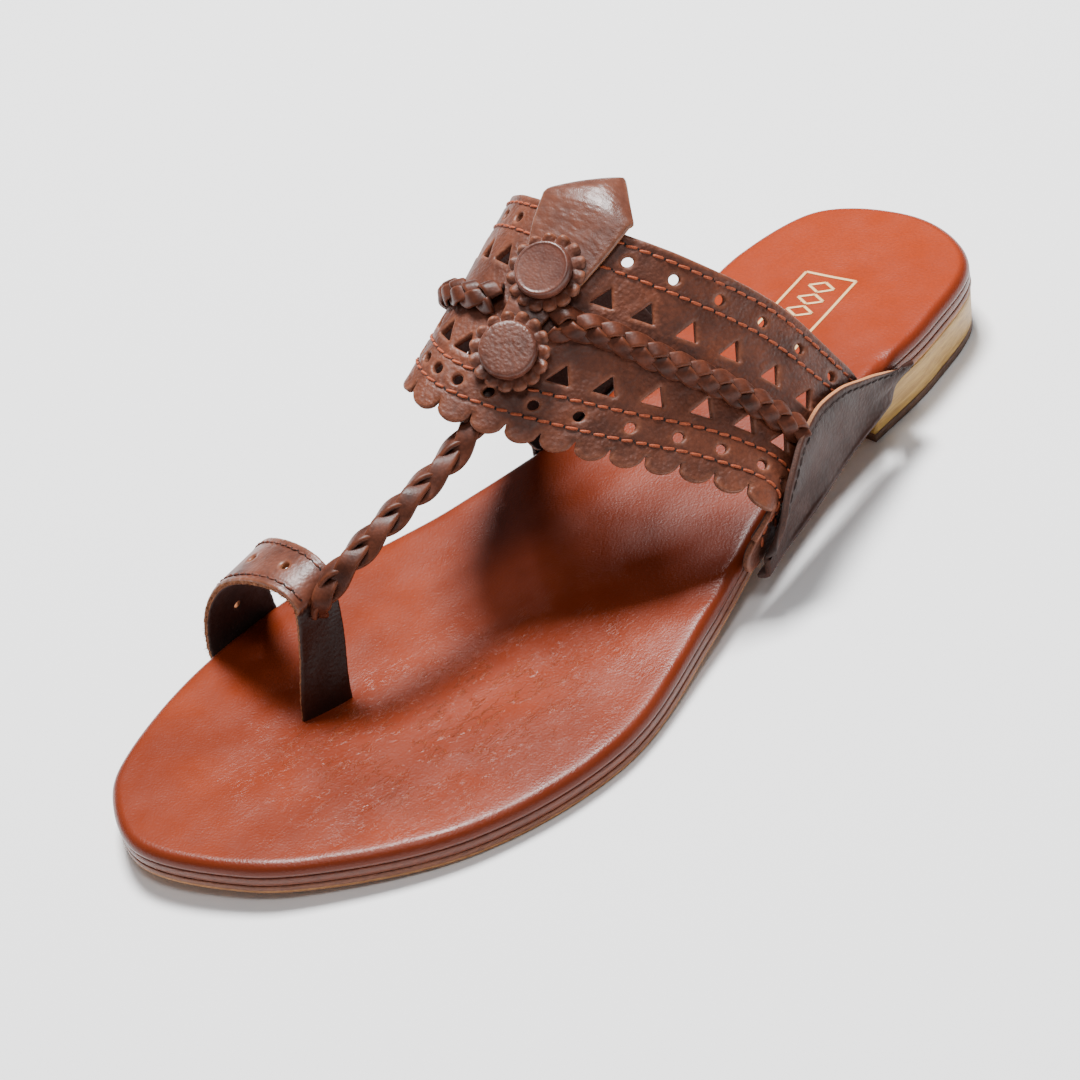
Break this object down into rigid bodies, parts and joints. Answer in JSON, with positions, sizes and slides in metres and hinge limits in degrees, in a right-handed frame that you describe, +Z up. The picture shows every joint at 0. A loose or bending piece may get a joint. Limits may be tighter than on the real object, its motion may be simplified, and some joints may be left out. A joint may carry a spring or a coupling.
{
  "type": "kolhapuri sandal",
  "caption": "Left leather kolhapuri sandal with a toe ring, plaited T-strap, scalloped and pierced vamp, side flaps and a low stacked heel.",
  "frame": {"origin": "on the floor, under the middle of the sandal's box", "axes": "+Y towards the toe, +X towards the wearer's right, which is the inner side of this left shoe, +Z up from the floor"},
  "size_m": [0.1016, 0.25, 0.0846],
  "materials": {
    "outsole_leather": "natural, unfinished edge",
    "midsole_leather": "dyed dark brown",
    "insole_leather": "polished tan orange with fine grain",
    "heel_stack": "smooth, with lengthwise grain",
    "heel_rubber": "matt, fine texture",
    "upper_leather": "brown, fine grained, soft sheen",
    "flap_leather": "dark brown, grained",
    "plait_leather": "brown strips, soft sheen",
    "medallion_leather": "brown, pebbled on the front button"
  },
  "bodies": {
    "root": {"outsole": "outsole_leather", "midsole": "midsole_leather", "insole": "insole_leather", "heel_block": "heel_stack", "heel_top_piece": "heel_rubber", "upper": "upper_leather", "outer_flap": "flap_leather", "inner_flap": "flap_leather", "centre_tab": "upper_leather", "outer_braid": "plait_leather", "inner_braid": "plait_leather", "front_disc": "medallion_leather", "front_button": "medallion_leather", "rear_disc": "medallion_leather", "rear_button": "medallion_leather"}
  },
  "joints": []
}
